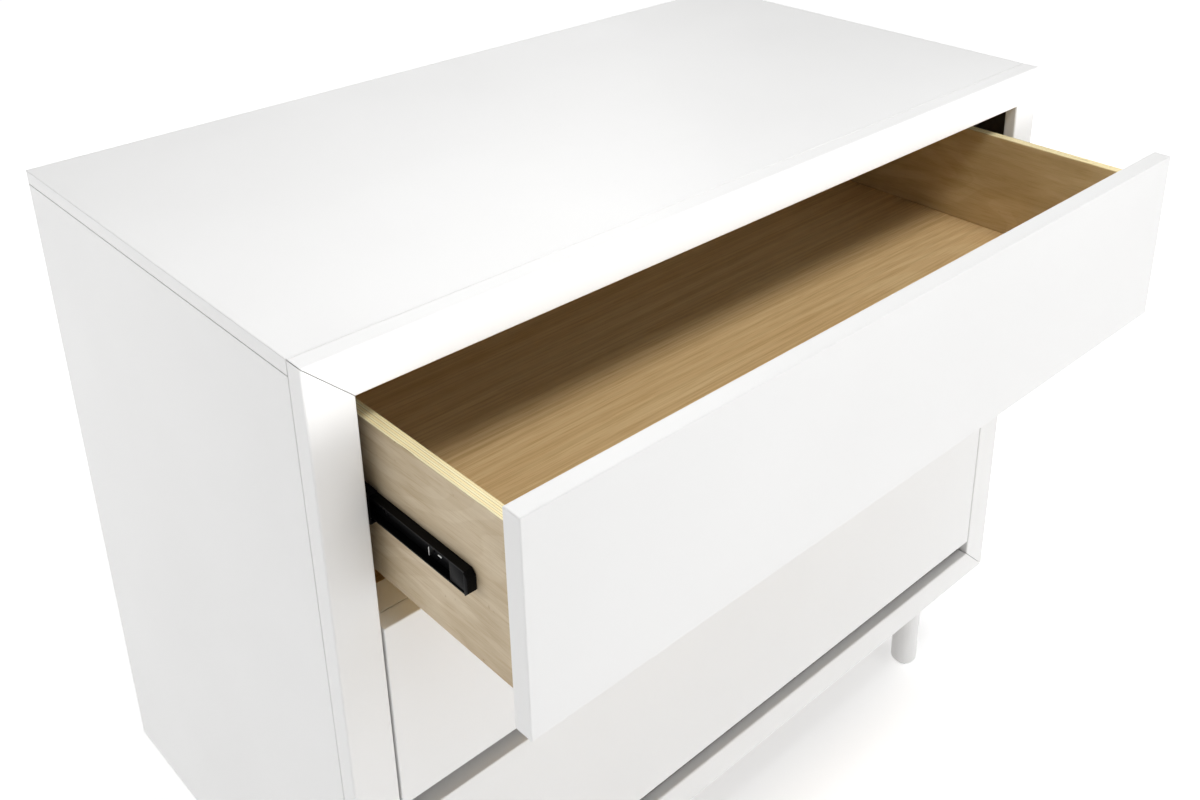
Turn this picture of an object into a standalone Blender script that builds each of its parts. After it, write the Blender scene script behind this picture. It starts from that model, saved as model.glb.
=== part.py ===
"""Three-drawer chest: a painted carcass with a mitred front frame on four turned legs, and
three plywood drawers on ball-bearing slides. Metres, +Z up, the front faces -Y, and the
origin is on the floor under the middle of the chest with its upper drawer pulled out."""

from math import pi

import bmesh
import bpy
from mathutils import Vector

# Driving sizes of the carcass.
WIDTH = 0.965
DEPTH = 0.513
LEG_HEIGHT = 0.150
BODY_HEIGHT = 0.715
PANEL_THICK = 0.015
TOP_THICK = 0.014
BACK_THICK = 0.006
FRAME_THICK = 0.020
STILE_WIDTH = 0.041
RAIL_HEIGHT = 0.0395
REBATE_SHARE = 0.25
REBATE_DEPTH = 0.0055
GAP = 0.0003
MITRE_GAP = 0.0007

# The drawers: how far each front's top edge is below the top surface, and its height.
DRAWERS = {"upper": (0.0465, 0.188), "middle": (0.256, 0.191), "lower": (0.4685, 0.186)}
PULLED_OUT = {"upper": 0.186, "middle": 0.0, "lower": 0.0}
FRONT_THICK = 0.0185
FRONT_SIDE_GAP = 0.002
PLY = 0.012
BOX_DROP = 0.025
BOX_HEIGHT = 0.145
BOX_LENGTH = 0.440
FLOOR_RAISE = 0.023
FLOOR_THICK = 0.006
GROOVE_DEPTH = 0.005

# The slides: sections as (web, wall inside it, flange tip, half height), measured outwards
# from the drawer's side, and (start, length) measured back from the front of the chest.
SLIDE_THICK = 0.0127
SLIDE_DROP = 0.0964
STEEL = 0.0012
DRAWER_MEMBER = ((0.0003, 0.0077, 0.0102), (0.0720, 0.386))
MIDDLE_MEMBER = ((0.0106, 0.0020, 0.01375), (0.0965, 0.340))
CABINET_MEMBER = ((0.0124, 0.0026, 0.0175), (0.0705, 0.400))
CLEAT_HEIGHT = 0.050
CLEAT_BACK = 0.480

# Rails behind the fronts, legs and glides.
CROSS_RAIL_DEPTH = 0.032
CROSS_RAIL_DROP = 0.0008
STRETCHER_HEIGHT = 0.060
BOTTOM_PANEL_TOP = 0.690
LEG_RADIUS = 0.0175
LEG_FOOT_ROUND = 0.004
ROUND_MIDWAY = 0.7
LEG_INSET_X = 0.084
LEG_INSET_Y = 0.056
GLIDE_RADIUS = 0.012
GLIDE_HEIGHT = 0.003

# Worked out from the sizes above.
TOP_Z = LEG_HEIGHT + BODY_HEIGHT
HALF = WIDTH / 2
SIDE_INNER = HALF - PANEL_THICK
OPENING_HALF = HALF - STILE_WIDTH
DRAWER_HALF = OPENING_HALF - SLIDE_THICK
FRONT_HALF = OPENING_HALF - FRONT_SIDE_GAP
FRONT_Y = (max(PULLED_OUT.values()) - DEPTH) / 2
SIDES = {"left": -1, "right": 1}

# How far edges are rounded, and what counts as a sharp edge.
EDGE_SOFT = 0.0010
EDGE_PANEL = 0.0007
EDGE_FINE = 0.0004
EDGE_FRAME = 0.0018
MITRE_SHARE = 0.2
TURNING_STEPS = 40
SHARP_ANGLE = 0.6
MERGE_DISTANCE = 0.0001

# Linear base colour, roughness and metalness.
FINISHES = {
    "white_paint": ((0.86, 0.86, 0.85), 0.38, 0.0),
    "birch_plywood": ((0.72, 0.60, 0.42), 0.60, 0.0),
    "maple_veneer": ((0.66, 0.50, 0.32), 0.50, 0.0),
    "black_steel": ((0.015, 0.015, 0.017), 0.35, 0.8),
    "raw_board": ((0.30, 0.23, 0.16), 0.85, 0.0),
    "glide_plastic": ((0.25, 0.25, 0.25), 0.60, 0.0),
}


def clear_scene():
    for old in list(bpy.data.objects):
        bpy.data.objects.remove(old, do_unlink=True)


def new_collection(name):
    collection = bpy.data.collections.new(name)
    bpy.context.scene.collection.children.link(collection)
    return collection


def finish(name, colour, roughness, metallic):
    """A Principled BSDF material."""
    material = bpy.data.materials.new(name)
    material.use_nodes = True
    shader = material.node_tree.nodes["Principled BSDF"]
    shader.inputs["Base Color"].default_value = (*colour, 1.0)
    shader.inputs["Roughness"].default_value = roughness
    shader.inputs["Metallic"].default_value = metallic
    return material


def depth(y):
    """World Y of a place y behind the chest's front face."""
    return FRONT_Y + y


def below_top(drop):
    """World Z of a place that is drop below the top surface."""
    return TOP_Z - drop


def add_object(name, mesh, material, parent=None, origin=(0.0, 0.0, 0.0)):
    """Link a mesh whose points are measured from origin, under its parent empty if it has one."""
    mesh.materials.append(material)
    item = bpy.data.objects.new(name, mesh)
    chest.objects.link(item)
    item.location = Vector(origin)
    if parent is not None:
        item.parent = parent
        item.location = Vector(origin) - parent.location
    return item


def soften(item, width, segments=2):
    """Round every edge of an object."""
    bevel = item.modifiers.new("arris", "BEVEL")
    bevel.width = width
    bevel.segments = segments
    bevel.limit_method = "ANGLE"
    return item


def board(name, x, y, z, material, parent=None, edge=EDGE_FINE):
    """A straight board between two world limits on each axis."""
    low = Vector((x[0], y[0], z[0]))
    high = Vector((x[1], y[1], z[1]))
    shape = bmesh.new()
    bmesh.ops.create_cube(shape, size=1.0)
    bmesh.ops.scale(shape, vec=high - low, verts=shape.verts)
    mesh = bpy.data.meshes.new(name)
    shape.to_mesh(mesh)
    shape.free()
    item = add_object(name, mesh, material, parent, (low + high) / 2)
    return soften(item, edge, 1 if edge == EDGE_FINE else 2)


def extrusion(name, outline, length, material, parent=None, origin=(0.0, 0.0, 0.0)):
    """A section given as (x, z) points, pushed back along +Y from origin."""
    shape = bmesh.new()
    corners = [shape.verts.new((x, 0.0, z)) for x, z in outline]
    section = shape.faces.new(corners)
    pushed = bmesh.ops.extrude_face_region(shape, geom=[section])
    far = [v for v in pushed["geom"] if isinstance(v, bmesh.types.BMVert)]
    bmesh.ops.translate(shape, vec=(0.0, length, 0.0), verts=far)
    bmesh.ops.recalc_face_normals(shape, faces=shape.faces)
    mesh = bpy.data.meshes.new(name)
    shape.to_mesh(mesh)
    shape.free()
    return add_object(name, mesh, material, parent, origin)


def frame_piece(name, width, meeting_width, length, centre, turn, material):
    """One mitred piece of the front frame: a rebated section along local Z, its outer edge at
    local -X, its front face at local Y 0. Each end runs in at the meeting piece's mitre."""
    rebate = width * (1 - REBATE_SHARE)
    inner_thick = FRAME_THICK - REBATE_DEPTH
    section = [
        (0.0, 0.0),
        (width, 0.0),
        (width, inner_thick),
        (rebate, inner_thick),
        (rebate, FRAME_THICK),
        (0.0, FRAME_THICK),
    ]
    shape = bmesh.new()
    corners = [shape.verts.new((x, y, -length / 2)) for x, y in section]
    face = shape.faces.new(corners)
    pushed = bmesh.ops.extrude_face_region(shape, geom=[face])
    far = [v for v in pushed["geom"] if isinstance(v, bmesh.types.BMVert)]
    bmesh.ops.translate(shape, vec=(0.0, 0.0, length), verts=far)
    for vert in shape.verts:
        run_in = MITRE_GAP / 2 + vert.co.x * meeting_width / width
        vert.co.z += run_in if vert.co.z < 0 else -run_in
    bmesh.ops.recalc_face_normals(shape, faces=shape.faces)
    weights = shape.edges.layers.float.new("bevel_weight_edge")
    for edge in shape.edges:
        along = abs(edge.verts[0].co.z - edge.verts[1].co.z) > length / 2
        edge[weights] = 1.0 if along else MITRE_SHARE
    bmesh.ops.translate(shape, vec=(-width / 2, 0.0, 0.0), verts=shape.verts)
    mesh = bpy.data.meshes.new(name)
    shape.to_mesh(mesh)
    shape.free()
    item = add_object(name, mesh, material, None, centre)
    item.rotation_euler = (0.0, turn, 0.0)
    bevel = item.modifiers.new("arris", "BEVEL")
    bevel.width = EDGE_FRAME
    bevel.segments = 3
    bevel.limit_method = "WEIGHT"
    return item


def turned(name, profile, material, place):
    """A solid of revolution about Z from (radius, height) points on and between the poles."""
    mesh = bpy.data.meshes.new(name)
    shape = bmesh.new()
    points = [shape.verts.new((radius, 0.0, height)) for radius, height in profile]
    for first, second in zip(points, points[1:]):
        shape.edges.new((first, second))
    shape.to_mesh(mesh)
    shape.free()
    item = add_object(name, mesh, material, None, place)
    screw = item.modifiers.new("turned", "SCREW")
    screw.axis = "Z"
    screw.steps = TURNING_STEPS
    screw.render_steps = TURNING_STEPS
    screw.use_merge_vertices = True
    screw.merge_threshold = MERGE_DISTANCE
    return item


def build_frame(paint):
    """Two stiles and two rails that meet in mitres at the corners."""
    middle_z = LEG_HEIGHT + BODY_HEIGHT / 2
    for side, sign in SIDES.items():
        centre = (sign * (HALF - STILE_WIDTH / 2), FRONT_Y, middle_z)
        turn = 0.0 if side == "left" else pi
        name = f"frame_{side}_stile"
        frame_piece(name, STILE_WIDTH, RAIL_HEIGHT, BODY_HEIGHT, centre, turn, paint)
    rails = {
        "top": (TOP_Z - RAIL_HEIGHT / 2, pi / 2),
        "bottom": (LEG_HEIGHT + RAIL_HEIGHT / 2, -pi / 2),
    }
    for end, (z, turn) in rails.items():
        name = f"frame_{end}_rail"
        frame_piece(name, RAIL_HEIGHT, STILE_WIDTH, WIDTH, (0.0, FRONT_Y, z), turn, paint)


def build_panels(paint, raw):
    """Top, sides, bottom, back, the back stretcher and the rails between the drawers."""
    behind_frame = depth(FRAME_THICK + GAP)
    back_y = depth(DEPTH)
    inner_back = back_y - BACK_THICK - GAP
    inside = (-SIDE_INNER + GAP, SIDE_INNER - GAP)
    under_top = TOP_Z - TOP_THICK - GAP
    panel_z = below_top(BOTTOM_PANEL_TOP)
    top_y = (behind_frame, back_y)
    board("top_panel", (-HALF, HALF), top_y, (TOP_Z - TOP_THICK, TOP_Z), paint, edge=EDGE_PANEL)
    for side, sign in SIDES.items():
        x = sorted((sign * SIDE_INNER, sign * HALF))
        board(f"{side}_side_panel", x, top_y, (LEG_HEIGHT, under_top), paint, edge=EDGE_PANEL)
    bottom_y = (behind_frame, inner_back)
    board("bottom_panel", inside, bottom_y, (panel_z - PANEL_THICK, panel_z), raw)
    back_z = (panel_z - PANEL_THICK, under_top)
    board("back_panel", inside, (back_y - BACK_THICK, back_y), back_z, raw)
    stretcher_y = (inner_back - PANEL_THICK, inner_back)
    board("back_stretcher", inside, stretcher_y, (under_top - STRETCHER_HEIGHT, under_top), raw)
    rail_y = (behind_frame, behind_frame + CROSS_RAIL_DEPTH)
    for name, drawer in (("upper_cross_rail", "middle"), ("lower_cross_rail", "lower")):
        top = below_top(DRAWERS[drawer][0] + CROSS_RAIL_DROP)
        board(name, inside, rail_y, (top - PANEL_THICK, top), paint)


def build_legs(paint, plastic):
    """Four turned legs, each on a glide."""
    top = below_top(BOTTOM_PANEL_TOP) - PANEL_THICK - GAP
    foot = GLIDE_HEIGHT + GAP
    rounding = LEG_FOOT_ROUND * (1 - ROUND_MIDWAY)
    leg_profile = [
        (0.0, top),
        (LEG_RADIUS, top),
        (LEG_RADIUS, foot + LEG_FOOT_ROUND),
        (LEG_RADIUS - rounding, foot + rounding),
        (LEG_RADIUS - LEG_FOOT_ROUND, foot),
        (0.0, foot),
    ]
    glide_profile = [
        (0.0, GLIDE_HEIGHT),
        (GLIDE_RADIUS, GLIDE_HEIGHT),
        (GLIDE_RADIUS, 0.0),
        (0.0, 0.0),
    ]
    rows = {"front": LEG_INSET_Y, "back": DEPTH - LEG_INSET_Y}
    for row, y in rows.items():
        for side, sign in SIDES.items():
            place = (sign * (HALF - LEG_INSET_X), depth(y), 0.0)
            leg = turned(f"leg_{row}_{side}", leg_profile, paint, place)
            glide = turned(f"glide_{row}_{side}", glide_profile, plastic, place)
            for item in (leg, glide):
                item.data.shade_smooth()
                item.data.set_sharp_from_angle(angle=SHARP_ANGLE)


def channel(name, side, member, z, pull, steel, parent=None):
    """One pressed steel member of a slide: a C section that opens towards its partner."""
    (web, tip, half_height), (start, length) = member
    inward = STEEL if tip > web else -STEEL
    section = [
        (web, -half_height),
        (tip, -half_height),
        (tip, STEEL - half_height),
        (web + inward, STEEL - half_height),
        (web + inward, half_height - STEEL),
        (tip, half_height - STEEL),
        (tip, half_height),
        (web, half_height),
    ]
    sign = SIDES[side]
    outline = [(sign * u, v) for u, v in section]
    origin = (sign * DRAWER_HALF, depth(start - pull), z)
    return extrusion(name, outline, length, steel, parent, origin)


def empty(name, place):
    """The empty that carries a drawer or its middle members."""
    marker = bpy.data.objects.new(name, None)
    marker.location = place
    chest.objects.link(marker)
    return marker


def build_drawer(drawer, made):
    """A drawer front on a plywood box, with the slide members on both of its sides."""
    ply, steel = made["birch_plywood"], made["black_steel"]
    drop, height = DRAWERS[drawer]
    pull = PULLED_OUT[drawer]
    front_y = depth(-pull)
    box_y = front_y + FRONT_THICK + GAP
    box_back = front_y + FRONT_THICK + BOX_LENGTH
    top = below_top(drop)
    box_top = top - BOX_DROP
    box_bottom = box_top - BOX_HEIGHT
    floor_z = box_bottom + FLOOR_RAISE
    slide_z = top - SLIDE_DROP
    centre = (0.0, front_y + FRONT_THICK, top - height / 2)
    body = empty(f"{drawer}_drawer_travel", centre)
    half_way = empty(f"{drawer}_slide_travel", (0.0, depth(-pull / 2), slide_z))

    front_x = (-FRONT_HALF, FRONT_HALF)
    front_faces = (front_y, front_y + FRONT_THICK)
    front_z = (top - height, top)
    board(f"{drawer}_front", front_x, front_faces, front_z, made["white_paint"], body, EDGE_SOFT)

    inner = DRAWER_HALF - PLY
    floor_half = inner + GROOVE_DEPTH - GAP
    floor_y = (box_y, box_back)
    floor_span = (floor_z, floor_z + FLOOR_THICK)
    floor_x = (-floor_half, floor_half)
    board(f"{drawer}_floor", floor_x, floor_y, floor_span, made["maple_veneer"], body)
    back_x = (-inner + GAP, inner - GAP)
    back_z = (floor_span[1] + GAP, box_top)
    board(f"{drawer}_box_back", back_x, (box_back - PLY, box_back), back_z, ply, body)

    groove = (FLOOR_RAISE - GAP, FLOOR_RAISE + FLOOR_THICK + GAP)
    side_section = [
        (0.0, 0.0),
        (-PLY, 0.0),
        (-PLY, groove[0]),
        (GROOVE_DEPTH - PLY, groove[0]),
        (GROOVE_DEPTH - PLY, groove[1]),
        (-PLY, groove[1]),
        (-PLY, BOX_HEIGHT),
        (0.0, BOX_HEIGHT),
    ]
    cleat_y = (depth(FRAME_THICK + GAP), depth(CLEAT_BACK))
    cleat_z = (slide_z - CLEAT_HEIGHT / 2, slide_z + CLEAT_HEIGHT / 2)
    for side, sign in SIDES.items():
        outline = [(sign * u, v) for u, v in side_section]
        place = (sign * DRAWER_HALF, box_y, box_bottom)
        length = box_back - box_y
        wall = extrusion(f"{drawer}_box_{side}", outline, length, ply, body, place)
        soften(wall, EDGE_SOFT)
        moving = f"{drawer}_slide_{side}_drawer_member"
        channel(moving, side, DRAWER_MEMBER, slide_z, pull, steel, body)
        following = f"{drawer}_slide_{side}_middle_member"
        channel(following, side, MIDDLE_MEMBER, slide_z, pull / 2, steel, half_way)
        channel(f"{drawer}_slide_{side}_cabinet_member", side, CABINET_MEMBER, slide_z, 0.0, steel)
        cleat_x = sorted((sign * OPENING_HALF, sign * (SIDE_INNER - GAP)))
        board(f"{drawer}_slide_{side}_cleat", cleat_x, cleat_y, cleat_z, made["raw_board"])


def build_chest():
    made = {name: finish(name, *look) for name, look in FINISHES.items()}
    build_frame(made["white_paint"])
    build_panels(made["white_paint"], made["raw_board"])
    build_legs(made["white_paint"], made["glide_plastic"])
    for drawer in DRAWERS:
        build_drawer(drawer, made)


clear_scene()
chest = new_collection("three_drawer_chest")
build_chest()
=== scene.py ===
"""Looks for the three-drawer chest: painted carcass, plywood drawer boxes, black slides."""

from math import pi, radians

import bmesh
import bpy
from mathutils import Matrix, Vector


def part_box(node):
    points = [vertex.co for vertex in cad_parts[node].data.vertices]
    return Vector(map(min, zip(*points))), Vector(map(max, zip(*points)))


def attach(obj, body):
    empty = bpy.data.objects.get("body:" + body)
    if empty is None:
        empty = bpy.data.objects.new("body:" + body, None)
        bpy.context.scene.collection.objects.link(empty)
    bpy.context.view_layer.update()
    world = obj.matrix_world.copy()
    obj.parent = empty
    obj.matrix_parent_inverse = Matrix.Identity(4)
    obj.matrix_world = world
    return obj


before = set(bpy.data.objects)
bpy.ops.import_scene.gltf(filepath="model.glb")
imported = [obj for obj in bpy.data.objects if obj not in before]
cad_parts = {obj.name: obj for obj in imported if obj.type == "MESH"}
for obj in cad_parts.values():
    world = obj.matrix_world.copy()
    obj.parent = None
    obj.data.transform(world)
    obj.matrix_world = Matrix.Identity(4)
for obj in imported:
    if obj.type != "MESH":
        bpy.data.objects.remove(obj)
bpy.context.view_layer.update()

DRAWERS = ("upper", "middle", "lower")
SIDES = {"left": -1, "right": 1}

# Camera: metres, degrees and millimetres.
CAMERA_PLACE = (-0.8421, -0.8891, 1.3307)
CAMERA_TURN = (66.782, 0.594, -43.256)
CAMERA_LENS = 38.857
CAMERA_SHIFT = (-0.0271, -0.1752)

# Lights: name, place, target, size, power in watts and spread in degrees.
WORLD_STRENGTH = 0.20
LIGHTS = (
    ("key", (0.1, -0.85, 2.2), (0.0, -0.16, 0.83), (1.5, 0.35), 16.0, 180),
    ("front_fill", (0.9, -2.1, 1.6), (0.0, -0.2, 0.4), (1.8, 1.2), 9.5, 180),
    ("low_fill", (0.3, -1.9, 0.30), (0.1, -0.16, 0.26), (2.0, 0.3), 0.4, 40),
    ("right_fill", (3.2, -2.2, 1.3), (0.0, -0.2, 0.5), (2.5, 2.4), 5.0, 180),
    ("left_fill", (-3.0, 1.7, 1.5), (0.0, 0.2, 0.5), (2.5, 2.0), 21.0, 180),
    ("top_fill", (0.6, 1.8, 2.4), (0.2, 0.3, 0.86), (2.4, 1.2), 32.0, 180),
    ("rail_strip", (0.0, -0.50, 0.885), (0.0, -0.16, 0.848), (1.02, 0.015), 0.12, 20),
)

# The floor: its half width, and how strongly it glows close to the chest and far from it.
FLOOR_REACH = 30.0
FLOOR_GLOW = (0.52, 0.82)
GLOW_FROM = 0.6
GLOW_TO = 2.6

# Shared by the small parts.
STEEL = 0.0012
CLEARANCE = 0.0002
SMOOTH_ANGLE = radians(35)
TURNING_STEPS = 20
MERGE_DISTANCE = 1e-6

# Screws. Shares are of the length of the part that they go through.
SCREW_RADIUS = 0.0036
SCREW_HEIGHT = 0.0014
SCREW_SHARES = (0.28, 0.60, 0.93)
BOX_SCREW_SHARES = (0.22, 0.80)
BOX_SCREW_RADIUS = 0.0034
BOX_SCREW_HEIGHT = 0.0005
BACK_SCREWS = 7
BACK_SCREW_LOW = 0.0075
BACK_SCREW_HIGH = 0.020

# Bumper, stop tab and rivet of a drawer member, measured from its front end and its web.
BUMPER_NOSE = 0.0045
BUMPER_CHAMFER = 0.0036
BUMPER_THICK = 0.0084
BUMPER_INSERT = 0.019
INSERT_THICK = 0.0069
PRISM_CHAMFER = 0.0004
TAB_BACK = 0.046
TAB_HALF = 0.0038
TAB_THICK = 0.0009
TAB_REACH = 0.0052
RIVET_BACK = 0.026
RIVET_LENGTH = 0.0042
RIVET_DROP = (0.0034, 0.0022)
RIVET_REACH = (0.0071, 0.0080)

# Strips of balls: their share of a middle member's length, and their place and size.
CAGE_SHARE = 0.48
CAGE_END = 0.004
CAGE_INSET = 0.0048
CAGE_HALF = 0.0016
CAGE_THICK = 0.0008
BALLS = 8

# Leg plates.
PLATE_HALF = 0.034
PLATE_SCREW = 0.026
PLATE_THICK = 0.002
PLATE_CHAMFER = 0.0006

# The filler over the seam behind the top rail.
SEAM_HALF = 0.0011
SEAM_DEEP = 0.0012
SEAM_PROUD = 0.00004

# Linear colours.
WHITE = (1.0, 1.0, 1.0)
FLOOR_WHITE = (0.90, 0.90, 0.90)
PAINT_DULL = (0.845, 0.842, 0.835)
PAINT_CLEAN = (0.872, 0.870, 0.864)
BIRCH_DEEP = (0.56, 0.45, 0.30)
BIRCH_MID = (0.66, 0.55, 0.39)
BIRCH_PALE = (0.74, 0.63, 0.47)
STREAK_DARK = (0.80, 0.74, 0.64)
PORE_DARK = (0.78, 0.68, 0.54)
FLECK = (0.52, 0.38, 0.24)
GLUE_LINE = (0.42, 0.26, 0.10)
PLY_LONG = (1.0, 0.91, 0.58)
PLY_CROSS = (0.99, 0.85, 0.48)
# Dark colour of painted shade in the core voids of the ply edges.
PLY_VOID_SHADE = (0.16, 0.09, 0.04)
MAPLE_DEEP = (0.75, 0.52, 0.25)
MAPLE_MID = (0.82, 0.595, 0.31)
MAPLE_PALE = (0.88, 0.665, 0.375)
RING_RED = (0.80, 0.66, 0.52)
STEEL_DARK = (0.002, 0.002, 0.002)
STEEL_WORN = (0.006, 0.006, 0.007)
ZINC_DULL = (0.48, 0.48, 0.47)
ZINC_BRIGHT = (0.66, 0.66, 0.64)
PLASTIC_DARK = (0.003, 0.003, 0.003)
PLASTIC_PALE = (0.007, 0.007, 0.008)
# Raw board colours, darkened further as painted shade for the deep inside of the carcass.
SHADED_BOARD_DEEP = (0.080, 0.064, 0.050)
SHADED_BOARD_PALE = (0.150, 0.125, 0.100)
# Warm tint of painted bounce light on the drawers' inside faces.
WARM_BOUNCE_TINT = (1.0, 0.90, 0.66)

# Plies are counted outwards from the middle of a board, in pairs of a long and a cross ply.
PLY_PAIRS_PER_METRE = 260.0
FACE_LIMIT = 0.85
CHEST_MIDDLE = (0.0, 0.09, 0.50)


# ---------------------------------------------------------------- node helpers


def new_material(name, roughness, metallic=0.0, specular=0.5):
    """A node material and its shader, with the settings that are the same all over it."""
    made = bpy.data.materials.new(name)
    made.use_nodes = True
    shader = made.node_tree.nodes["Principled BSDF"]
    shader.inputs["Roughness"].default_value = roughness
    shader.inputs["Metallic"].default_value = metallic
    shader.inputs["Specular IOR Level"].default_value = specular
    return made, shader


def node(tree, kind, inputs, output=0, **settings):
    """Add a shader node, fill its inputs with values or links, and return one output."""
    made = tree.nodes.new(f"ShaderNode{kind}")
    for key, value in settings.items():
        setattr(made, key, value)
    for key, value in inputs.items():
        if isinstance(value, bpy.types.NodeSocket):
            tree.links.new(value, made.inputs[key])
        else:
            made.inputs[key].default_value = value
    return made.outputs[output]


def ramp(tree, factor, stops):
    """A colour ramp over (position, colour) stops."""
    made = tree.nodes.new("ShaderNodeValToRGB")
    elements = made.color_ramp.elements
    while len(elements) < len(stops):
        elements.new(1.0)
    for element, (position, colour) in zip(elements, stops):
        element.position = position
        element.color = (*colour, 1.0)
    tree.links.new(factor, made.inputs["Fac"])
    return made.outputs["Color"]


def noise(tree, where, scale, detail=3.0, roughness=0.5, distortion=0.0):
    """A 0 to 1 noise with its features about 1 / scale metres across."""
    inputs = {"Vector": where, "Scale": scale, "Detail": detail}
    inputs.update({"Roughness": roughness, "Distortion": distortion})
    return node(tree, "TexNoise", inputs)


def stretched(tree, where, scale):
    """Coordinates scaled on each axis, so that a small scale draws a pattern out along it."""
    return node(tree, "Mapping", {"Vector": where, "Scale": scale})


def remap(tree, value, low, high):
    """A 0 to 1 value spread over low to high."""
    return node(tree, "MapRange", {"Value": value, "To Min": low, "To Max": high})


def maths(tree, operation, first, second=0.0):
    """One step of arithmetic between values or links."""
    return node(tree, "Math", {0: first, 1: second}, operation=operation)


def mixed(tree, factor, first, second, blend="MIX"):
    """The second colour laid over the first by a factor."""
    inputs = {"Fac": factor, "Color1": first, "Color2": second}
    return node(tree, "MixRGB", inputs, blend_type=blend)


def bumped(tree, shader, height, strength, distance):
    """Give a shader a bump of the given depth in metres."""
    inputs = {"Height": height, "Strength": strength, "Distance": distance}
    tree.links.new(node(tree, "Bump", inputs), shader.inputs["Normal"])


def object_place(tree):
    """The place and the outward direction of a point on its own piece."""
    made = tree.nodes.new("ShaderNodeTexCoord")
    return made.outputs["Object"], made.outputs["Normal"]


# ---------------------------------------------------------------- materials


def painted(name, dark_shaded_inside=False):
    """Sprayed satin lacquer: faint clouding, fine orange peel and a little uneven sheen.
    With the inside option, faces that look towards the middle of the chest are raw board in darkened
    colours: painted shade of the chest's dark inside."""
    made, shader = new_material(name, 0.38, specular=0.45)
    tree = made.node_tree
    where, facing = object_place(tree)
    cloud = noise(tree, where, 2.6, detail=4.0)
    tone = ramp(tree, cloud, ((0.30, PAINT_DULL), (0.70, PAINT_CLEAN)))
    peel = noise(tree, where, 420.0, detail=2.0)
    # Painted shade: faces that look inwards get the darkened board colours, standing in for the
    # shade inside the carcass.
    if dark_shaded_inside:
        felt = noise(tree, where, 60.0, detail=8.0, roughness=0.7)
        board = ramp(tree, felt, ((0.30, SHADED_BOARD_DEEP), (0.70, SHADED_BOARD_PALE)))
        inputs = {0: where, 1: CHEST_MIDDLE}
        outward = node(tree, "VectorMath", inputs, operation="SUBTRACT")
        inputs = {0: outward, 1: facing}
        along = node(tree, "VectorMath", inputs, output="Value", operation="DOT_PRODUCT")
        tone = mixed(tree, maths(tree, "LESS_THAN", along), tone, board)
    tree.links.new(tone, shader.inputs["Base Color"])
    sheen = noise(tree, where, 9.0, detail=5.0)
    tree.links.new(remap(tree, sheen, 0.30, 0.46), shader.inputs["Roughness"])
    bumped(tree, shader, peel, 0.05, 0.0004)
    return made


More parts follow.
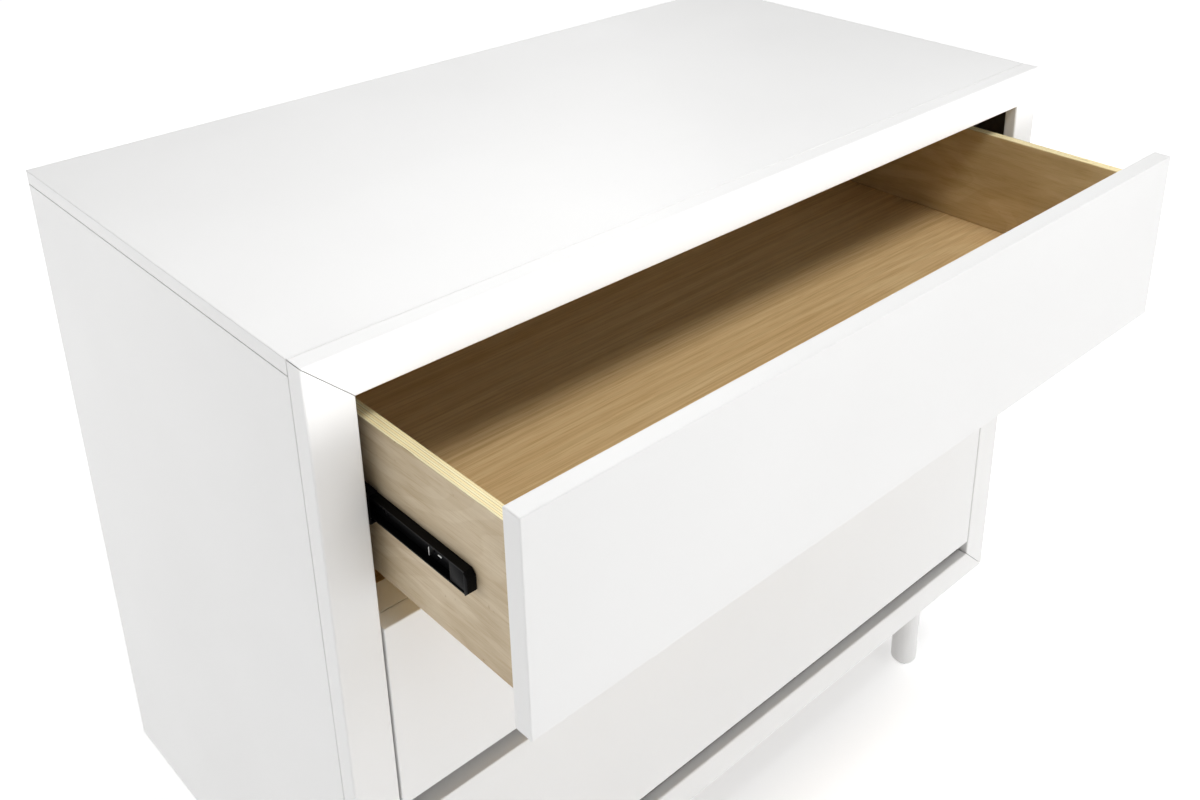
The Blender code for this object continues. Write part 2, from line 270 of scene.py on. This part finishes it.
def plywood(name, face_axis, grain_axis):
    """Rotary-cut birch plywood: cloudy, faintly streaked faces, and edges that show plies.
    face_axis is the axis across the board's thickness and grain_axis runs along its grain.
    Faces that look into the drawer are tinted warmer: painted light bounced off the drawer floor."""
    made, shader = new_material(name, 0.55, specular=0.35)
    tree = made.node_tree
    where, facing = object_place(tree)

    slow = [1.0, 1.0, 1.0]
    slow[grain_axis] = 0.10
    thin = [1.0, 1.0, 1.0]
    thin[grain_axis] = 0.03
    along = stretched(tree, where, slow)
    cloud = noise(tree, stretched(tree, where, [s ** 0.3 for s in slow]), 16.0, detail=5.0)
    face = ramp(tree, cloud, ((0.30, BIRCH_DEEP), (0.50, BIRCH_MID), (0.72, BIRCH_PALE)))
    streak = noise(tree, along, 70.0, detail=7.0, roughness=0.62, distortion=0.6)
    streak_tone = ramp(tree, streak, ((0.36, STREAK_DARK), (0.56, WHITE)))
    face = mixed(tree, 0.60, face, streak_tone, "MULTIPLY")
    figure = noise(tree, stretched(tree, where, [s ** 0.5 for s in slow]), 8.0, detail=2.0)
    rings = maths(tree, "SINE", maths(tree, "MULTIPLY", figure, 85.0))
    ring_tone = ramp(tree, remap(tree, rings, 0.0, 1.0), ((0.0, STREAK_DARK), (0.35, WHITE)))
    face = mixed(tree, 0.30, face, ring_tone, "MULTIPLY")
    pores = noise(tree, stretched(tree, where, thin), 1200.0, detail=2.0)
    pore_tone = ramp(tree, pores, ((0.34, PORE_DARK), (0.48, WHITE)))
    face = mixed(tree, 0.40, face, pore_tone, "MULTIPLY")
    flecks = noise(tree, where, 120.0, detail=1.0)
    fleck_tone = ramp(tree, flecks, ((0.77, WHITE), (0.82, FLECK)))
    face = mixed(tree, 0.6, face, fleck_tone, "MULTIPLY")

    across = node(tree, "SeparateXYZ", {"Vector": facing}, output=face_axis)
    parts = node(tree, "SeparateXYZ", {"Vector": where}, output=face_axis)
    # Painted bounce light: faces that look into the drawer are tinted warm, as light off the veneer
    # floor would make them.
    is_inside = maths(tree, "LESS_THAN", maths(tree, "MULTIPLY", across, parts))
    bounce_warmed = mixed(tree, 1.0, face, (*WARM_BOUNCE_TINT, 1.0), "MULTIPLY")
    face = mixed(tree, is_inside, face, bounce_warmed)

    plies = maths(tree, "MULTIPLY", maths(tree, "ABSOLUTE", parts), PLY_PAIRS_PER_METRE)
    waver = remap(tree, noise(tree, stretched(tree, where, thin), 160.0), -0.22, 0.22)
    layer = maths(tree, "FRACT", maths(tree, "ADD", plies, waver))
    stops = (
        (0.00, GLUE_LINE),
        (0.09, PLY_LONG),
        (0.43, PLY_LONG),
        (0.50, GLUE_LINE),
        (0.57, PLY_CROSS),
        (0.96, PLY_CROSS),
    )
    edge = ramp(tree, layer, stops)
    fibre = noise(tree, stretched(tree, where, thin), 900.0, detail=3.0)
    fibre_tone = ramp(tree, fibre, ((0.30, PORE_DARK), (0.55, WHITE)))
    edge = mixed(tree, 0.35, edge, fibre_tone, "MULTIPLY")
    # Core voids on the ply edges: dark slits of painted shade where a gap would be, not cut into the
    # edge.
    void_spots = noise(tree, stretched(tree, where, thin), 420.0, detail=1.0)
    void_shade_tone = ramp(tree, void_spots, ((0.30, PLY_VOID_SHADE), (0.34, WHITE)))
    edge = mixed(tree, 0.9, edge, void_shade_tone, "MULTIPLY")

    is_face = maths(tree, "GREATER_THAN", maths(tree, "ABSOLUTE", across), FACE_LIMIT)
    tree.links.new(mixed(tree, is_face, edge, face), shader.inputs["Base Color"])
    height = mixed(tree, is_face, fibre, pores)
    bumped(tree, shader, height, 0.22, 0.0003)
    tree.links.new(remap(tree, streak, 0.46, 0.62), shader.inputs["Roughness"])
    return made


def maple_veneer():
    """Sliced veneer on the drawer floors: fine straight grain along X and cathedral figure."""
    made, shader = new_material("maple_veneer_sealed", 0.45, specular=0.4)
    tree = made.node_tree
    where, _ = object_place(tree)
    cloud = noise(tree, stretched(tree, where, (0.20, 1.0, 1.0)), 6.0, detail=2.0)
    base = ramp(tree, cloud, ((0.25, MAPLE_DEEP), (0.50, MAPLE_MID), (0.80, MAPLE_PALE)))
    streak = noise(tree, stretched(tree, where, (0.004, 1.0, 1.0)), 340.0, detail=3.0)
    streak_tone = ramp(tree, streak, ((0.38, STREAK_DARK), (0.56, WHITE)))
    base = mixed(tree, 0.62, base, streak_tone, "MULTIPLY")
    figure = noise(tree, stretched(tree, where, (0.12, 1.0, 1.0)), 4.0, detail=1.0)
    rings = maths(tree, "SINE", maths(tree, "MULTIPLY", figure, 260.0))
    ring_tone = ramp(tree, remap(tree, rings, 0.0, 1.0), ((0.0, RING_RED), (0.55, WHITE)))
    base = mixed(tree, 0.22, base, ring_tone, "MULTIPLY")
    pores = noise(tree, stretched(tree, where, (0.02, 1.0, 1.0)), 1300.0, detail=2.0)
    pore_tone = ramp(tree, pores, ((0.34, PORE_DARK), (0.48, WHITE)))
    base = mixed(tree, 0.6, base, pore_tone, "MULTIPLY")
    tree.links.new(base, shader.inputs["Base Color"])
    tree.links.new(remap(tree, streak, 0.38, 0.55), shader.inputs["Roughness"])
    bumped(tree, shader, pores, 0.15, 0.0002)
    return made


def fibreboard(name, deep, pale, scale):
    """Pressed board: fine felted fibres with darker specks."""
    made, shader = new_material(name, 0.85, specular=0.25)
    tree = made.node_tree
    where, _ = object_place(tree)
    felt = noise(tree, where, scale, detail=8.0, roughness=0.7)
    base = ramp(tree, felt, ((0.30, deep), (0.70, pale)))
    specks = noise(tree, where, scale * 6.0, detail=2.0)
    speck_tone = ramp(tree, specks, ((0.34, PORE_DARK), (0.46, WHITE)))
    tree.links.new(mixed(tree, 0.6, base, speck_tone, "MULTIPLY"), shader.inputs["Base Color"])
    tree.links.new(remap(tree, felt, 0.75, 0.92), shader.inputs["Roughness"])
    bumped(tree, shader, felt, 0.25, 0.0004)
    return made


def coated_steel():
    """Black-coated pressed steel with a satin, faintly brushed surface."""
    made, shader = new_material("slide_steel_black", 0.34, specular=0.05)
    tree = made.node_tree
    where, _ = object_place(tree)
    brushed = noise(tree, stretched(tree, where, (1.0, 0.04, 1.0)), 700.0, detail=3.0)
    tone = ramp(tree, brushed, ((0.3, STEEL_DARK), (0.7, STEEL_WORN)))
    tree.links.new(tone, shader.inputs["Base Color"])
    tree.links.new(remap(tree, brushed, 0.28, 0.42), shader.inputs["Roughness"])
    bumped(tree, shader, brushed, 0.06, 0.0002)
    return made


def bright_steel():
    """Zinc-plated steel of the screws, plates and balls."""
    made, shader = new_material("zinc_plated_steel", 0.30, metallic=1.0)
    tree = made.node_tree
    where, _ = object_place(tree)
    patch = noise(tree, where, 260.0, detail=4.0)
    tone = ramp(tree, patch, ((0.3, ZINC_DULL), (0.7, ZINC_BRIGHT)))
    tree.links.new(tone, shader.inputs["Base Color"])
    tree.links.new(remap(tree, patch, 0.24, 0.40), shader.inputs["Roughness"])
    bumped(tree, shader, patch, 0.05, 0.0002)
    return made


def moulded_plastic():
    """Black moulded plastic with a fine eroded texture."""
    made, shader = new_material("moulded_plastic_black", 0.34, specular=0.03)
    tree = made.node_tree
    where, _ = object_place(tree)
    grain = noise(tree, where, 1500.0, detail=2.0)
    tone = ramp(tree, grain, ((0.3, PLASTIC_DARK), (0.7, PLASTIC_PALE)))
    tree.links.new(tone, shader.inputs["Base Color"])
    tree.links.new(remap(tree, grain, 0.26, 0.40), shader.inputs["Roughness"])
    bumped(tree, shader, grain, 0.15, 0.0002)
    return made


def studio_floor():
    """A white floor that glows a little more the further it is from the chest."""
    made, shader = new_material("studio_floor", 0.9, specular=0.1)
    tree = made.node_tree
    where, _ = object_place(tree)
    reach = node(tree, "VectorMath", {"Vector": where}, output="Value", operation="LENGTH")
    inputs = {"Value": reach, "From Min": GLOW_FROM, "From Max": GLOW_TO}
    inputs.update({"To Min": FLOOR_GLOW[0], "To Max": FLOOR_GLOW[1]})
    tree.links.new(node(tree, "MapRange", inputs), shader.inputs["Emission Strength"])
    shader.inputs["Emission Color"].default_value = (*WHITE, 1.0)
    shader.inputs["Base Color"].default_value = (*FLOOR_WHITE, 1.0)
    return made


LOOKS = {
    "paint": painted("white_paint_satin"),
    # White paint, with inward faces in dark board colours as painted shade.
    "panel": painted("white_paint_shaded_inside", dark_shaded_inside=True),
    "ply_side": plywood("birch_plywood_sides", 0, 1),
    "ply_back": plywood("birch_plywood_back", 1, 0),
    "veneer": maple_veneer(),
    "steel": coated_steel(),
    "zinc": bright_steel(),
    # Raw board in colours darkened into painted shade, for the bottom, back, stretcher and slide
    # cleats.
    "board": fibreboard("raw_fibreboard_darkened_as_shade", SHADED_BOARD_DEEP, SHADED_BOARD_PALE, 45.0),
    "plastic": moulded_plastic(),
}


def look_of(name):
    """The material that a CAD node gets, from what its name says it is."""
    if "_slide_" in name:
        return LOOKS["board"] if name.endswith("cleat") else LOOKS["steel"]
    if name.endswith("box_back"):
        return LOOKS["ply_back"]
    if "_box_" in name:
        return LOOKS["ply_side"]
    if name.endswith("_floor"):
        return LOOKS["veneer"]
    if name in ("bottom_panel", "back_panel", "back_stretcher"):
        return LOOKS["board"]
    if name.startswith("glide"):
        return LOOKS["plastic"]
    if name.endswith("side_panel") or name == "top_panel":
        return LOOKS["panel"]
    return LOOKS["paint"]


def paint_cad_nodes():
    """Give every CAD node its look."""
    for name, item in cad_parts.items():
        for index in range(len(item.material_slots)):
            item.material_slots[index].material = look_of(name)


# ---------------------------------------------------------------- small parts


def add_piece(name, shape, look, body):
    """Make a piece of a bmesh that is already in place, and let it ride on a body."""
    bmesh.ops.recalc_face_normals(shape, faces=shape.faces)
    mesh = bpy.data.meshes.new(name)
    shape.to_mesh(mesh)
    shape.free()
    mesh.materials.append(LOOKS[look])
    mesh.shade_smooth()
    mesh.set_sharp_from_angle(angle=SMOOTH_ANGLE)
    item = bpy.data.objects.new(name, mesh)
    bpy.context.scene.collection.objects.link(item)
    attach(item, body)


def add_block(shape, low, high, chamfer):
    """Add a chamfered block between two corners to a bmesh."""
    made = bmesh.ops.create_cube(shape, size=1.0)
    verts = made["verts"]
    size = Vector(high) - Vector(low)
    bmesh.ops.scale(shape, vec=size, verts=verts)
    bmesh.ops.translate(shape, vec=(Vector(low) + Vector(high)) / 2, verts=verts)
    edges = list({edge for vert in verts for edge in vert.link_edges})
    bmesh.ops.bevel(shape, geom=edges, offset=chamfer, segments=2, affect="EDGES", profile=0.5)


def add_turned(shape, profile, place, facing):
    """Add a solid of revolution to a bmesh: (radius, height) points, its axis along facing."""
    turn = Vector((0, 0, 1)).rotation_difference(Vector(facing)).to_matrix().to_4x4()
    move = Matrix.Translation(Vector(place)) @ turn
    verts = [shape.verts.new(move @ Vector((radius, 0.0, height))) for radius, height in profile]
    edges = [shape.edges.new(pair) for pair in zip(verts, verts[1:])]
    axis = move.to_3x3() @ Vector((0, 0, 1))
    bmesh.ops.spin(
        shape,
        geom=verts + edges,
        cent=Vector(place),
        axis=axis,
        angle=2 * pi,
        steps=TURNING_STEPS,
        use_merge=True,
    )
    bmesh.ops.remove_doubles(shape, verts=shape.verts, dist=MERGE_DISTANCE)


def add_screw(shape, place, facing, radius=SCREW_RADIUS, height=SCREW_HEIGHT):
    """A pan-head screw: a low dome with a round drive recess. Its profile goes from the bottom
    of the recess over the rim and down to just below the surface that it is driven into."""
    recess = radius * 0.38
    profile = (
        (0.0, height * 0.30),
        (recess * 0.8, height * 0.34),
        (recess, height),
        (radius * 0.72, height * 0.92),
        (radius * 0.93, height * 0.62),
        (radius, height * 0.25),
        (radius, -height * 0.3),
        (0.0, -height * 0.3),
    )
    add_turned(shape, profile, place, facing)


def add_prism(shape, outline, x):
    """Add a prism to a bmesh: a (y, z) outline pushed from x[0] to x[1]."""
    corners = [shape.verts.new((x[0], y, z)) for y, z in outline]
    face = shape.faces.new(corners)
    made = bmesh.ops.extrude_face_region(shape, geom=[face])
    far = [v for v in made["geom"] if isinstance(v, bmesh.types.BMVert)]
    bmesh.ops.translate(shape, vec=(x[1] - x[0], 0.0, 0.0), verts=far)
    edges = list({edge for vert in corners + far for edge in vert.link_edges})
    bmesh.ops.bevel(shape, geom=edges, offset=PRISM_CHAMFER, segments=2, affect="EDGES", profile=0.5)


def slide_details(drawer, side):
    """End bumper, stop tab, rivet and screws of a drawer member."""
    sign = SIDES[side]
    low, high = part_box(f"{drawer}_slide_{side}_drawer_member")
    web = low.x if sign > 0 else high.x
    middle_z = (low.z + high.z) / 2
    body = f"{drawer}_drawer"

    def span(near, far):
        return sorted((web + sign * near, web + sign * far))

    block = bmesh.new()
    front = low.y - BUMPER_NOSE
    bottom, top = low.z + CLEARANCE, high.z - CLEARANCE
    back = low.y - CLEARANCE / 2
    outline = (
        (front, bottom + BUMPER_CHAMFER),
        (front + BUMPER_CHAMFER, bottom),
        (back, bottom),
        (back, top),
        (front + BUMPER_CHAMFER, top),
        (front, top - BUMPER_CHAMFER),
    )
    add_prism(block, outline, span(CLEARANCE, BUMPER_THICK))
    inner = STEEL + CLEARANCE
    x = span(STEEL, INSERT_THICK)
    near = (x[0], low.y - BUMPER_NOSE / 4, low.z + inner)
    far = (x[1], low.y + BUMPER_INSERT, high.z - inner)
    add_block(block, near, far, PLATE_CHAMFER)
    add_piece(f"{drawer}_slide_{side}_bumper", block, "plastic", body)

    fixings = bmesh.new()
    for share in SCREW_SHARES:
        y = low.y + share * (high.y - low.y)
        add_screw(fixings, (web + sign * STEEL, y, middle_z), (sign, 0, 0))
    add_piece(f"{drawer}_slide_{side}_screws", fixings, "steel", body)

    tab = bmesh.new()
    x = span(STEEL / 2, TAB_REACH)
    y = low.y + TAB_BACK
    near = (x[0], y, middle_z - TAB_HALF)
    far = (x[1], y + TAB_THICK, middle_z + TAB_HALF)
    add_block(tab, near, far, CLEARANCE)
    x = span(*RIVET_REACH)
    y = low.y + RIVET_BACK
    near = (x[0], y, high.z - RIVET_DROP[0])
    far = (x[1], y + RIVET_LENGTH, high.z - RIVET_DROP[1])
    add_block(tab, near, far, CLEARANCE)
    add_piece(f"{drawer}_slide_{side}_stop_tab", tab, "zinc", body)


def ball_cages(drawer, side):
    """The two rows of balls on each face of a middle member, held in thin strips."""
    sign = SIDES[side]
    middle_low, middle_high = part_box(f"{drawer}_slide_{side}_middle_member")
    inner_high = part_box(f"{drawer}_slide_{side}_drawer_member")[1]
    outer_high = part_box(f"{drawer}_slide_{side}_cabinet_member")[1]
    length = (middle_high.y - middle_low.y) * CAGE_SHARE
    rows = {
        "inner": (inner_high.z, middle_high.z - STEEL, middle_low.y + CAGE_END),
        "outer": (middle_high.z, outer_high.z - STEEL, middle_high.y - CAGE_END - length),
    }
    web = middle_high.x if sign > 0 else middle_low.x
    middle_z = (middle_low.z + middle_high.z) / 2
    for row, (low_z, high_z, start) in rows.items():
        shape = bmesh.new()
        radius = (high_z - low_z) / 2 - 0.00004
        ball_x = web - sign * CAGE_INSET
        for flip in (-1, 1):
            ball_z = middle_z + flip * ((low_z + high_z) / 2 - middle_z)
            for index in range(BALLS):
                y = start + length * (index + 0.5) / BALLS
                made = bmesh.ops.create_icosphere(shape, subdivisions=2, radius=radius)
                bmesh.ops.translate(shape, vec=(ball_x, y, ball_z), verts=made["verts"])
            near = (ball_x - CAGE_HALF, start, ball_z - CAGE_THICK / 2)
            far = (ball_x + CAGE_HALF, start + length, ball_z + CAGE_THICK / 2)
            add_block(shape, near, far, CAGE_THICK / 8)
        name = f"{drawer}_slide_{side}_{row}_balls"
        add_piece(name, shape, "zinc", f"{drawer}_middle_members")


def box_screws(drawer):
    """Two countersunk screws through each drawer side into the box back."""
    low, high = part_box(f"{drawer}_box_back")
    y = (low.y + high.y) / 2
    shape = bmesh.new()
    for side, sign in SIDES.items():
        side_low, side_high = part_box(f"{drawer}_box_{side}")
        face = side_high.x if sign > 0 else side_low.x
        for share in BOX_SCREW_SHARES:
            place = (face, y, low.z + share * (high.z - low.z))
            add_screw(shape, place, (sign, 0, 0), BOX_SCREW_RADIUS, BOX_SCREW_HEIGHT)
    add_piece(f"{drawer}_box_screws", shape, "zinc", f"{drawer}_drawer")


def leg_plates():
    """A square steel plate with four screws around the top of each leg."""
    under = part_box("bottom_panel")[0].z
    for row in ("front", "back"):
        for side in SIDES:
            low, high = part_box(f"leg_{row}_{side}")
            x = (low.x + high.x) / 2
            y = (low.y + high.y) / 2
            shape = bmesh.new()
            top = under - CLEARANCE
            bottom = top - PLATE_THICK
            near = (x - PLATE_HALF, y - PLATE_HALF, bottom)
            far = (x + PLATE_HALF, y + PLATE_HALF, top)
            add_block(shape, near, far, PLATE_CHAMFER)
            for dx in (-1, 1):
                for dy in (-1, 1):
                    place = (x + dx * PLATE_SCREW, y + dy * PLATE_SCREW, bottom)
                    add_screw(shape, place, (0, 0, -1))
            add_piece(f"leg_{row}_{side}_plate", shape, "zinc", "carcass")


def back_screws():
    """Pan-head screws along the top and bottom of the back panel."""
    low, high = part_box("back_panel")
    shape = bmesh.new()
    for z in (low.z + BACK_SCREW_LOW, high.z - BACK_SCREW_HIGH):
        for index in range(BACK_SCREWS):
            share = (index + 0.5) / BACK_SCREWS
            x = low.x + share * (high.x - low.x)
            add_screw(shape, (x, high.y, z), (0, 1, 0))
    add_piece("back_panel_screws", shape, "zinc", "carcass")


def top_seam_filler():
    """The painted filler that hides the joint between the top panel and the front frame."""
    low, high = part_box("top_panel")
    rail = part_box("frame_top_rail")[1]
    middle = (rail.y + low.y) / 2
    shape = bmesh.new()
    near = (low.x + SEAM_DEEP, middle - SEAM_HALF, high.z - SEAM_DEEP)
    far = (high.x - SEAM_DEEP, middle + SEAM_HALF, high.z + SEAM_PROUD)
    add_block(shape, near, far, SEAM_PROUD)
    add_piece("top_seam_filler", shape, "paint", "carcass")


# ---------------------------------------------------------------- stage


def add_light(name, place, target, size, power, spread):
    """A rectangular light at a place, turned towards a target."""
    data = bpy.data.lights.new(name, "AREA")
    data.shape = "RECTANGLE"
    data.size, data.size_y = size
    data.energy = power
    data.spread = radians(spread)
    item = bpy.data.objects.new(name, data)
    item.location = place
    item.rotation_euler = (Vector(target) - Vector(place)).to_track_quat("-Z", "Y").to_euler()
    bpy.context.scene.collection.objects.link(item)


def build_stage():
    """The floor, the even light from all round, and the lamps."""
    mesh = bpy.data.meshes.new("studio_floor")
    turns = ((-1, -1), (1, -1), (1, 1), (-1, 1))
    corners = [(x * FLOOR_REACH, y * FLOOR_REACH, 0.0) for x, y in turns]
    mesh.from_pydata(corners, [], [(0, 1, 2, 3)])
    mesh.materials.append(studio_floor())
    item = bpy.data.objects.new("studio_floor", mesh)
    bpy.context.scene.collection.objects.link(item)
    world = bpy.data.worlds.new("studio")
    world.use_nodes = True
    background = world.node_tree.nodes["Background"]
    background.inputs["Color"].default_value = (*WHITE, 1.0)
    background.inputs["Strength"].default_value = WORLD_STRENGTH
    bpy.context.scene.world = world
    bpy.context.scene.view_settings.view_transform = "Standard"
    for light in LIGHTS:
        add_light(*light)


def add_camera():
    """The camera, above and to the left of the chest's front left corner."""
    data = bpy.data.cameras.new("camera")
    data.lens = CAMERA_LENS
    data.shift_x, data.shift_y = CAMERA_SHIFT
    camera = bpy.data.objects.new("camera", data)
    camera.location = CAMERA_PLACE
    camera.rotation_euler = [radians(angle) for angle in CAMERA_TURN]
    bpy.context.scene.collection.objects.link(camera)
    bpy.context.scene.camera = camera


paint_cad_nodes()
for drawer in DRAWERS:
    box_screws(drawer)
    for side in SIDES:
        slide_details(drawer, side)
        ball_cages(drawer, side)
leg_plates()
back_screws()
top_seam_filler()
build_stage()
add_camera()
